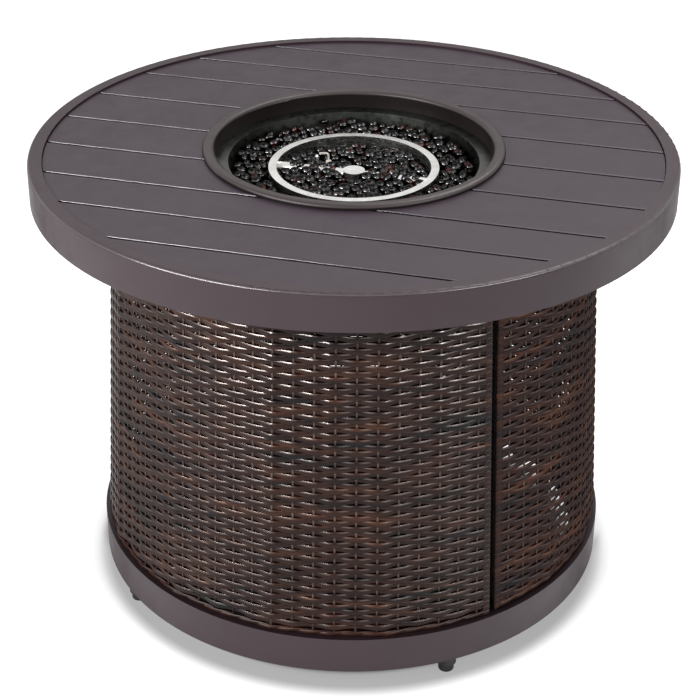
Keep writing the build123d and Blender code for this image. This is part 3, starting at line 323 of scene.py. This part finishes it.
def bead_material():
    """Dark tumbled glass that glints where its facets catch the light, with patches of painted flame glow.
    """
    m = Nodes("dark_fire_glass")
    place = m.position()
    tone_and_flame_glow = m.noise(place, scale=60.0, detail=2.0, rough=0.5)
    # the red-brown last stop is painted flame glow; the darker stops are the glass's own tone
    tones = [(0.48, (0.0015, 0.0015, 0.0015)), (0.60, (0.006, 0.002, 0.002)), (0.70, (0.060, 0.012, 0.006))]
    normal = m.bump(m.noise(place, scale=170.0, detail=2.0), 0.5, distance=0.0012)
    lit = m.math("MAXIMUM", *(m.toward(normal, direction) for direction in GLASS_LIT))
    m.principled({
        "Base Color": m.ramp(tone_and_flame_glow, tones),
        "Roughness": m.remap(m.noise(place, scale=300.0), low=0.3, high=0.7, to_low=0.05, to_high=0.12),
        "Specular IOR Level": m.smooth(lit, low=0.90, high=0.97, to_low=0.05),
        "Normal": normal,
    })
    return m.material


# Dark and light tone of each coat
PAINT = (0.032, 0.0170, 0.0205), (0.041, 0.0225, 0.027)
SLAT = (0.030, 0.0170, 0.0262), (0.038, 0.0227, 0.033)
TRIM = (0.038, 0.027, 0.025), (0.048, 0.036, 0.034)
FRAME = (0.016, 0.014, 0.013), (0.026, 0.022, 0.021)
# Radius and height of the centre of the rim's rolled edge, in metres
RIM_EDGE = (0.4024, 0.586)
# Tones of strands and stakes, each with its place on the noise
STRAND_TONES = [
    (0.36, (0.008, 0.008, 0.010)),
    (0.43, (0.016, 0.009, 0.009)),
    (0.50, (0.027, 0.012, 0.010)),
    (0.57, (0.038, 0.016, 0.011)),
    (0.66, (0.082, 0.033, 0.019)),
]
STAKE_TONES = [(0.35, (0.050, 0.036, 0.032)), (0.50, (0.110, 0.080, 0.070)), (0.65, (0.170, 0.125, 0.110))]
# painted light: the door's strands and the weave's twisted edges take the wall's tones made lighter
DOOR_LIT_TONES = [(place, tuple(1.3 * part for part in colour)) for place, colour in STRAND_TONES]
materials = {
    # painted shade: the slats' groove walls and the lower half of each fold are darkened
    "top_steel": powder_coat("top_powder_coat", SLAT, 0.38, polish=2.0, side=0.08, deep=0.10),
    # painted shade: the band's level ledge under the wicker is darkened
    "band_steel": powder_coat("band_powder_coat", PAINT, 0.40, polish=0.4, flat=0.6),
    "frame_steel": powder_coat("frame_powder_coat", FRAME, 0.45),
    "wicker": wicker_material("woven_resin", STRAND_TONES, 0.17, 0.5),
    "stainless": metal("stainless_steel", (0.62, 0.61, 0.59), (0.84, 0.83, 0.81), 0.26, (1, 1, 14), 90.0),
    # painted shade: the pan's dark steel is darkened further for the shade inside the fire bowl
    "galvanised": metal("pan_steel", (0.05, 0.054, 0.048), (0.09, 0.095, 0.085), 0.30, scale=120.0),
    "zinc": metal("zinc_plate", (0.45, 0.44, 0.40), (0.62, 0.61, 0.57), 0.32),
    "brass": metal("machined_brass", (0.55, 0.38, 0.14), (0.72, 0.52, 0.22), 0.30, (1, 1, 9), 200.0),
    "fire_glass": bead_material(),
    "pad_rubber": plastic("moulded_rubber", (0.010, 0.010, 0.010), (0.020, 0.019, 0.018), 0.62),
    "black_plastic": plastic("black_plastic", (0.010, 0.010, 0.011), (0.019, 0.019, 0.020), 0.42),
    "ceramic": plastic("white_ceramic", (0.66, 0.64, 0.58), (0.78, 0.76, 0.71), 0.24, 500.0, 0.1),
    "lead_sleeve": plastic("silicone_sleeve", (0.03, 0.03, 0.03), (0.05, 0.05, 0.05), 0.5),
}
door_strands = wicker_material("woven_resin_door", DOOR_LIT_TONES, 0.48, 0.3)
stake_material = wicker_material("resin_stakes", STAKE_TONES, 0.40, 0.4)
own_materials = {
    # painted shade: the collar's upright inner skirt is darkened
    "fire_collar": powder_coat("trim_powder_coat", TRIM, 0.40, side=0.35),
    "table_rim": powder_coat("rim_powder_coat", PAINT, 0.38, polish=1.0, edge=RIM_EDGE),
}

slot_of = {row["node"]: row["material_slot"] for row in frame["record"]["subparts"]}
for name, piece in nodes.items():
    material = own_materials.get(name, materials[slot_of[name]])
    for slot in piece.material_slots:
        slot.material = material
    if not piece.material_slots:
        piece.data.materials.append(material)


def add_object(name, mesh, material):
    piece = bpy.data.objects.new(name, mesh)
    scene.collection.objects.link(piece)
    mesh.materials.append(material)
    return piece


# The base's leaning wall, flat between its corners, in millimetres and degrees
BAND_TOP, FOOT_RADIUS, HEAD_RADIUS, RING_TOP = 75.0, 336.0, 308.5, 551.9
SLOPE = (FOOT_RADIUS - HEAD_RADIUS) / (RING_TOP - BAND_TOP)
LEAN = math.atan(SLOPE)
DOOR_HALF, BAYS, DOOR_BAYS = 43.0, 11, 5
HALF_GAP = 3.5


class Wall:
    """A stretch of the wall: posts stand at its even corners, and it sags inwards at the odd ones."""

    def __init__(self, start, end, bays, sag, stakes, shift):
        self.start, self.end = start, end
        self.step = (end - start) / (2 * bays)
        self.corners = 2 * bays + 1
        self.sag = sag
        self.stakes = stakes
        self.shift = shift

    def radius(self, theta, z, depth):
        index = np.clip(((theta - self.start) // self.step).astype(int), 0, self.corners - 2)
        near = FOOT_RADIUS - SLOPE * (z - BAND_TOP) - depth - self.sag * (index % 2)
        far = FOOT_RADIUS - SLOPE * (z - BAND_TOP) - depth - self.sag * ((index + 1) % 2)
        past = np.radians(theta - self.start - index * self.step)
        left = np.radians(self.start + (index + 1) * self.step - theta)
        return near * far * math.sin(math.radians(self.step)) / (near * np.sin(past) + far * np.sin(left))

    def point(self, theta, z, depth):
        theta, z, depth = (part.astype(float) for part in np.broadcast_arrays(theta, z, depth))
        r = self.radius(theta, z, depth)
        a = np.radians(theta)
        return np.stack([r * np.cos(a), r * np.sin(a), z], -1)

    def axes(self, theta):
        """Directions out of the wall and up along it."""
        a = np.radians(theta)
        x, y = np.cos(a), np.sin(a)
        out = np.stack([x * math.cos(LEAN), y * math.cos(LEAN), np.full_like(a, math.sin(LEAN))], -1)
        up = np.stack([-x * math.sin(LEAN), -y * math.sin(LEAN), np.full_like(a, math.cos(LEAN))], -1)
        return out, up

    def edge(self, side, z):
        """Angle of the wall's edge, half a gap from the plane of its first or last post."""
        plane = self.start if side < 0 else self.end
        r = FOOT_RADIUS - SLOPE * (z - BAND_TOP)
        return plane - side * math.degrees(math.asin(HALF_GAP / r))


class Mesh:
    """Collects tubes and turns them into one object."""

    def __init__(self, name):
        self.name, self.points, self.faces, self.count = name, [], [], 0

    def tube(self, centres, first, second, profile, closed=False, sizes=None):
        n, m = len(centres), len(profile)
        scale = np.ones(n) if sizes is None else sizes
        a = profile[:, 0][None, :, None] * scale[:, None, None]
        b = profile[:, 1][None, :, None] * scale[:, None, None]
        verts = centres[:, None, :] + first[:, None, :] * a + second[:, None, :] * b
        self.points.append(verts.reshape(-1, 3))
        spans = n if closed else n - 1
        i = np.arange(spans)[:, None]
        j = np.arange(m)[None, :]
        i2, j2 = (i + 1) % n, (j + 1) % m
        quads = np.stack([i * m + j, i * m + j2, i2 * m + j2, i2 * m + j], -1).reshape(-1, 4)
        self.faces += (quads + self.count).tolist()
        if not closed:
            self.faces.append([self.count + k for k in range(m)][::-1])
            self.faces.append([self.count + (n - 1) * m + k for k in range(m)])
        self.count += n * m

    def build(self, material, slot, body):
        mesh = bpy.data.meshes.new(self.name)
        mesh.from_pydata((np.concatenate(self.points) * MM).tolist(), [], self.faces)
        mesh.validate()
        mesh.shade_smooth()
        piece = add_object(self.name, mesh, material)
        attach(piece, body)
        return piece


# Shares of a strand's half thickness outwards and of its half width upwards: a flat face with a bevel
# along its upper edge
STRAND_PROFILE = [
    (0.0, 1.0), (0.36, 0.90), (0.42, 0.86), (0.89, 0.55), (0.96, 0.47), (1.0, 0.2),
    (1.0, -0.25), (0.9, -0.6), (0.55, -0.9), (0.0, -1.0), (-0.4, -0.6), (-0.4, 0.6),
]
STAKE = np.array([(0.5, -1.25), (0.9, 0.0), (0.5, 1.25), (-0.6, 1.25), (-0.6, -1.25)])


def strand_section(width, thick):
    return (np.array(STRAND_PROFILE) * (thick / 2, width / 2))[::-1]


# The weave: depths under the wall's face and heights in millimetres, insets in degrees
BORDER, WRAP = 5.5, 9.0
STRAND_DEPTH, STRAND_SWING, STRAND_INSET, STRAND_STEPS = 2.6, 1.55, 1.15, 8
STAKE_DEPTH, STAKE_INSET, STAKE_MARGIN, STAKE_STEP = 2.4, 1.5, 1, 60
WRAP_DEPTH, WRAP_SWING, WRAP_RISE, WRAP_INSET, WRAP_STEPS = 2.5, 1.75, 0.9, 0.16, 16
EDGE_DEPTH, EDGE_SWING, EDGE_TWIST, EDGE_INSET, EDGE_LEVEL, EDGE_STEPS = 2.2, 1.0, 0.7, 1.1, 3.2, 3
WRAP_SECTION, EDGE_SECTION = strand_section(7.2, 1.5), strand_section(5.6, 2.6)


def sharpened(wave):
    """A wave that lingers at its ends, where the strand bends round a stake."""
    return wave * (1.18 - 0.18 * wave * wave)


def squared(wave):
    """A wave with flatter tops, for a strand that turns round a flat edge."""
    return np.sign(wave) * np.abs(wave) ** 0.45


class Weave:
    """Plain weave: flat stakes, and strands that pass outside one stake and inside the next."""

    def __init__(self, name, wall, z_low, z_high, weft, hole=None):
        self.wall, self.z_low, self.z_high = wall, z_low, z_high
        self.weft, self.hole = weft, hole
        self.mesh, self.stakes, self.borders = Mesh(name), Mesh(name + "_stakes"), Mesh(name + "_borders")
        self.interval = (wall.end - wall.start) / wall.stakes
        self.first_stake = wall.start + self.interval * wall.shift

    def strand(self, start, end, level, row):
        count = max(3, int((end - start) / self.interval * STRAND_STEPS))
        theta = np.linspace(start, end, count)
        along = (theta - self.first_stake) / self.interval
        wave = sharpened(np.cos(math.pi * (along - row % 2)))
        sway, ripple, swell = rng.uniform(0, FULL_TURN, 3)
        drift = 0.22 * np.sin(along * 0.9 + sway) + 0.16 * np.sin(along * 2.3 + ripple)
        out, up = self.wall.axes(theta)
        centres = self.wall.point(theta, level + drift, STRAND_DEPTH - STRAND_SWING * wave)
        sizes = 0.98 + 0.08 * wave * wave + 0.03 * np.sin(along * 1.7 + swell)
        self.mesh.tube(centres, out, up, self.weft, sizes=sizes)

    def strands(self):
        field = self.z_high - self.z_low - 2 * BORDER
        rows = int(field / PITCH)
        base = self.z_low + BORDER + (field - rows * PITCH) / 2 + PITCH / 2
        for row in range(rows):
            level = base + row * PITCH
            start, end = self.wall.edge(-1, level) + STRAND_INSET, self.wall.edge(1, level) - STRAND_INSET
            spans = [(start, end)]
            if self.hole and self.hole[2] < level < self.hole[3]:
                spans = [(start, self.hole[0]), (self.hole[1], end)]
            for span in spans:
                self.strand(*span, level, row)

    def upright(self):
        low_edge = self.wall.edge(-1, self.z_low) + STAKE_INSET
        high_edge = self.wall.edge(1, self.z_low) - STAKE_INSET
        bottom, top = self.z_low + STAKE_MARGIN, self.z_high - STAKE_MARGIN
        for k in range(self.wall.stakes + 1):
            theta = self.first_stake + k * self.interval
            if not low_edge < theta < high_edge:
                continue
            levels = [(bottom, top)]
            if self.hole and self.hole[0] < theta < self.hole[1]:
                levels = [(bottom, self.hole[2]), (self.hole[3], top)]
            for low, high in levels:
                zs = np.linspace(low, high, max(2, int((high - low) / STAKE_STEP)))
                angles = np.full(len(zs), theta)
                out, up = self.wall.axes(angles)
                self.stakes.tube(self.wall.point(angles, zs, STAKE_DEPTH), out, np.cross(up, out), STAKE)

    def wraps(self):
        """Strands wound round the two upright edges."""
        count = int((self.z_high - self.z_low) / PITCH)
        turn = np.linspace(0, FULL_TURN, WRAP_STEPS + 1)[:-1]
        reach, lift = squared(np.cos(turn)), squared(np.sin(turn))
        half_wrap = math.degrees(WRAP / FOOT_RADIUS) / 2
        for side in (-1, 1):
            for k in range(count):
                level = self.z_low + (k + 0.5) * (self.z_high - self.z_low) / count
                theta = self.wall.edge(side, level) - side * WRAP_INSET + half_wrap * (reach - side)
                out, up = self.wall.axes(theta)
                a = np.radians(theta)
                sideways = np.stack([-np.sin(a), np.cos(a), 0 * a], -1)
                normal = out * lift[:, None] + sideways * reach[:, None]
                normal /= np.linalg.norm(normal, axis=1)[:, None]
                centres = self.wall.point(theta, level + WRAP_RISE * reach, WRAP_DEPTH - WRAP_SWING * lift)
                self.mesh.tube(centres, normal, up, WRAP_SECTION, closed=True)

    def twisted_edges(self):
        """Pairs of twisted strands along the foot and the head."""
        for level, twist in ((self.z_low + EDGE_LEVEL, 1), (self.z_high - EDGE_LEVEL, -1)):
            start, end = self.wall.edge(-1, level) + EDGE_INSET, self.wall.edge(1, level) - EDGE_INSET
            theta = np.linspace(start, end, int((end - start) * EDGE_STEPS))
            out, up = self.wall.axes(theta)
            for phase in (0, math.pi):
                along = (theta - self.wall.start) / self.interval * math.pi + phase
                height = level + EDGE_TWIST * np.sin(along) * twist
                centres = self.wall.point(theta, height, EDGE_DEPTH - EDGE_SWING * np.cos(along))
                self.borders.tube(centres, out, up, EDGE_SECTION)

    def build(self, body, node, strand_material):
        self.strands()
        self.upright()
        self.wraps()
        self.twisted_edges()
        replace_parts(self.mesh.build(strand_material, "wicker", body), node)
        self.stakes.build(stake_material, "wicker", body)
        self.borders.build(door_strands, "wicker", body)


fixed_wall = Wall(DOOR_HALF, 360 - DOOR_HALF, BAYS, sag=2.0, stakes=60, shift=0.18)
door_wall = Wall(-DOOR_HALF, DOOR_HALF, DOOR_BAYS, sag=1.5, stakes=19, shift=0.0)

# The control panel stands in the middle of the third bay, and the weave leaves it open
PANEL_BAY, PANEL_HALF, PANEL_REACH, PANEL_LOW, PANEL_HIGH = 2.5, 46, 312, 431, 493
WALL_LOW, WALL_HIGH, DOOR_LOW, DOOR_HIGH = 75.6, 544.9, 80.0, 535.0
panel_angle = DOOR_HALF + PANEL_BAY * (360 - 2 * DOOR_HALF) / BAYS
half_panel = math.degrees(math.atan(PANEL_HALF / PANEL_REACH))
panel_hole = (panel_angle - half_panel, panel_angle + half_panel, PANEL_LOW, PANEL_HIGH)
wall_weave = Weave("woven_wall", fixed_wall, WALL_LOW, WALL_HIGH, strand_section(8.0, 2.9), panel_hole)
wall_weave.build("table", "wicker_wall", materials["wicker"])
door_weave = Weave("woven_door", door_wall, DOOR_LOW, DOOR_HIGH, strand_section(7.5, 2.6))
door_weave.build("door", "door_wicker", door_strands)


# Fire glass: layers of tumbled beads round the burner and the probes, in millimetres
BURNER_INSIDE, BURNER_OUTSIDE, BED_RADIUS = 98, 108, 157
HUB_RADIUS, SPOKE_HALF = 15.5, 7.5
PAN_RADIUS, PAN_LEVEL, PAN_FLARE = 150.0, 535.0, 0.19
PROBE, PROBE_RADIUS = np.array([-47.0, 21.0]), 9
BEAD_SPACING, BEAD_LAYERS, LAYER_DROP = 13.5, 3, 8.0
INNER_LEVEL, OUTER_LEVEL, BANK_RISE = 556.0, 560.5, 5.0
SCATTER = 2.4


def bead_shape():
    """Points of a ball with unit radius, and its faces."""
    bm = bmesh.new()
    bmesh.ops.create_icosphere(bm, subdivisions=2, radius=1.0)
    points = np.array([vert.co[:] for vert in bm.verts])
    faces = [[vert.index for vert in face.verts] for face in bm.faces]
    bm.free()
    return points, faces


def bead_level(r):
    """Top of the bed: level inside the burner, banked up outside it to the pan's wall."""
    if r < (BURNER_INSIDE + BURNER_OUTSIDE) / 2:
        return INNER_LEVEL
    return OUTER_LEVEL + BANK_RISE * (r - BURNER_OUTSIDE) / (BED_RADIUS - BURNER_OUTSIDE)


def draw_bead(layer, row, column):
    """A bead's place, size, lift, turn and shape."""
    return {
        "x": (column + 0.5 * (row % 2) + 0.27 * layer) * BEAD_SPACING + rng.uniform(-SCATTER, SCATTER),
        "y": (row + 0.4 * layer) * BEAD_SPACING * 0.87 + rng.uniform(-SCATTER, SCATTER),
        "size": rng.uniform(5.4, 9.4),
        "lift": rng.uniform(-2.2, 1.6),
        "spin": rng.uniform(0, FULL_TURN),
        "lean": rng.normal() * 0.45,
        "flat": rng.uniform(0.5, 0.75),
        "oval": rng.uniform(0.75, 1.0),
        "lump": rng.normal(size=3) * 0.16,
    }


def beads():
    ball, ball_faces = bead_shape()
    points, faces = [], []
    count = int(BED_RADIUS / BEAD_SPACING) + 2
    cells = [(layer, row, column) for layer in range(BEAD_LAYERS)
             for row in range(-count, count) for column in range(-count, count)]
    for layer, row, column in cells:
        bead = draw_bead(layer, row, column)
        x, y, size, lift = bead["x"], bead["y"], bead["size"], bead["lift"]
        r = math.hypot(x, y)
        pan_wall = PAN_RADIUS + PAN_FLARE * (bead_level(r) - PAN_LEVEL - layer * LAYER_DROP)
        if r > pan_wall - size * 0.75 or BURNER_INSIDE - size * 0.8 < r < BURNER_OUTSIDE + size * 0.8:
            continue
        over_spoke = abs(y) < SPOKE_HALF + size * 0.7 and r < BURNER_INSIDE
        if r < HUB_RADIUS + size * 0.7 or over_spoke:
            if layer > 0 or r < HUB_RADIUS + size * 0.4:
                continue
            lift = 2.0 + 0.5 * lift
        if math.hypot(x - PROBE[0], y - PROBE[1]) < PROBE_RADIUS + size * 0.5:
            continue
        z = bead_level(r) - size * bead["flat"] * 0.8 - layer * LAYER_DROP + lift
        axes = np.array([1.0, bead["oval"], bead["flat"]])
        shape = ball * (1 + 0.5 * (ball @ bead["lump"])[:, None]) * axes * size
        tilt = Matrix.Rotation(bead["lean"], 3, "X") @ Matrix.Rotation(bead["spin"], 3, "Z")
        points.append(shape @ np.array(tilt) + np.array([x, y, z]))
        start = (len(points) - 1) * len(ball)
        faces += [[start + k for k in face] for face in ball_faces]
    mesh = bpy.data.meshes.new("fire_glass_beads")
    mesh.from_pydata((np.concatenate(points) * MM).tolist(), [], faces)
    mesh.shade_smooth()
    piece = add_object("fire_glass_beads", mesh, materials["fire_glass"])
    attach(piece, "table")
    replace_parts(piece, "fire_glass_bed")


beads()


# Floor, white surroundings and soft studio light
FLOOR_HALF = 12.0
# Floor glows for seen rays: painted light where the floor under the base shows through the weave, a painted
# shadow dip round the base rising to the far glow, the painted shadow ring along the band's front, then the
# world's ambient light
PAINTED_LIGHT_GLOW, PAINTED_SHADOW_GLOW, FAR_GLOW, SHADE_GLOW, AMBIENT = 1.0, 0.38, 0.78, 0.38, 0.09
# The third colour is the painted shade of the floor under the base
PALE, PALER, SHADED, WHITE = (0.86, 0.86, 0.86), (0.9, 0.9, 0.9), (0.12, 0.12, 0.12), (1, 1, 1)
BACKWARDS = (-0.255, 0.967, 0.0)


def seen_ray(tree):
    """1 for rays from the camera, off gloss and through glass, and 0 for light on matt surfaces."""
    path = tree.nodes.new("ShaderNodeLightPath")
    total = path.outputs["Is Camera Ray"]
    for kind in ("Is Glossy Ray", "Is Transmission Ray"):
        either = tree.nodes.new("ShaderNodeMath")
        either.operation = "MAXIMUM"
        tree.links.new(total, either.inputs[0])
        tree.links.new(path.outputs[kind], either.inputs[1])
        total = either.outputs[0]
    return total


def floor_material():
    """Pale floor, painted dark with shade under the base and white round it, with a painted grey shadow
    ring along the band's front.

    Behind and at the right, the white of painted light starts further in, where the floor under the base
    shows through the weave.
    """
    m = Nodes("studio_floor")
    place = m.position()
    reach = m.vector("LENGTH", place)
    behind = m.smooth(m.vector("DOT_PRODUCT", place, BACKWARDS), low=-0.05, high=0.02)
    right = m.smooth(m.split(place)["X"], low=-0.12, high=0.12)
    # painted light: the floor under the base is white at the right and behind, where it shows through the
    # weave
    through = m.times(m.smooth(reach, low=0.285, high=0.33), right, behind)
    open_floor = m.math("MAXIMUM", m.smooth(reach, low=0.335, high=0.357), through)
    # painted shadow: a grey ring along the band's front
    ring = m.times(m.smooth(reach, low=0.300, high=0.315), m.rest(behind))
    shaded = m.times(ring, SHADE_GLOW, m.rest(open_floor))
    pale = m.ramp(m.noise(place, scale=3.0, detail=2.0), [(0.3, PALE), (0.7, PALER)])
    shade = m.ramp(open_floor, [(0.0, SHADED), (1.0, WHITE)])
    tints = {"Factor": 1.0, 6: pale, 7: shade}
    colour = m.add("ShaderNodeMix", tints, data_type="RGBA", blend_type="MULTIPLY")
    beyond = m.smooth(reach, low=0.345, high=0.385, to_low=PAINTED_SHADOW_GLOW, to_high=FAR_GLOW)
    level = m.smooth(reach, low=0.325, high=0.345, to_low=PAINTED_LIGHT_GLOW, to_high=beyond)
    total = m.plus(m.times(open_floor, level), shaded)
    strength = m.times(seen_ray(m.tree), total)
    diffuse = m.add("ShaderNodeBsdfDiffuse", {"Color": colour.outputs[2]}).outputs[0]
    glow = m.add("ShaderNodeEmission", {"Color": (*WHITE, 1), "Strength": strength}).outputs[0]
    m.show(m.add("ShaderNodeAddShader", {0: diffuse, 1: glow}).outputs[0])
    return m.material


def stage():
    mesh = bpy.data.meshes.new("studio_floor")
    corners = [(x * FLOOR_HALF, y * FLOOR_HALF, 0) for x, y in ((-1, -1), (1, -1), (1, 1), (-1, 1))]
    mesh.from_pydata(corners, [], [(0, 1, 2, 3)])
    floor = add_object("studio_floor", mesh, floor_material())

    world = bpy.data.worlds.new("studio")
    scene.world = world
    world.use_nodes = True
    tree = world.node_tree
    tree.nodes.clear()
    out = tree.nodes.new("ShaderNodeOutputWorld")
    mix = tree.nodes.new("ShaderNodeMixShader")
    tree.links.new(seen_ray(tree), mix.inputs["Fac"])
    for socket, colour, strength in ((1, (0.97, 0.98, 1.0), AMBIENT), (2, WHITE, 1.0)):
        background = tree.nodes.new("ShaderNodeBackground")
        background.inputs["Color"].default_value = (*colour, 1)
        background.inputs["Strength"].default_value = strength
        tree.links.new(background.outputs[0], mix.inputs[socket])
    tree.links.new(mix.outputs[0], out.inputs["Surface"])


# Lamps stand round a point in the table and aim at another; azimuths count from the photograph's side
FRONT_AZIMUTH = -75
LAMP_CENTRE, LAMP_AIM = Vector((0, 0, 0.4)), Vector((0, 0, 0.35))


def softbox(name, azimuth, elevation, distance, width, height, power):
    place = LAMP_CENTRE + Vector(heading(azimuth + FRONT_AZIMUTH, elevation)) * distance
    data = bpy.data.lights.new(name, "AREA")
    data.shape = "RECTANGLE"
    data.size, data.size_y = width, height
    data.energy = power
    light = bpy.data.objects.new(name, data)
    light.location = place
    light.rotation_euler = (LAMP_AIM - place).to_track_quat("-Z", "Y").to_euler()
    scene.collection.objects.link(light)


stage()
softbox("key_left", azimuth=-50, elevation=28, distance=3.0, width=2.2, height=0.3, power=72)
softbox("fill_right", azimuth=46, elevation=28, distance=3.0, width=1.7, height=0.2, power=23)
softbox("front_strip", azimuth=-4, elevation=27, distance=3.0, width=1.2, height=0.12, power=1)
softbox("overhead", azimuth=130, elevation=60, distance=2.4, width=1.2, height=1.2, power=26)

scene.view_settings.view_transform = "Standard"
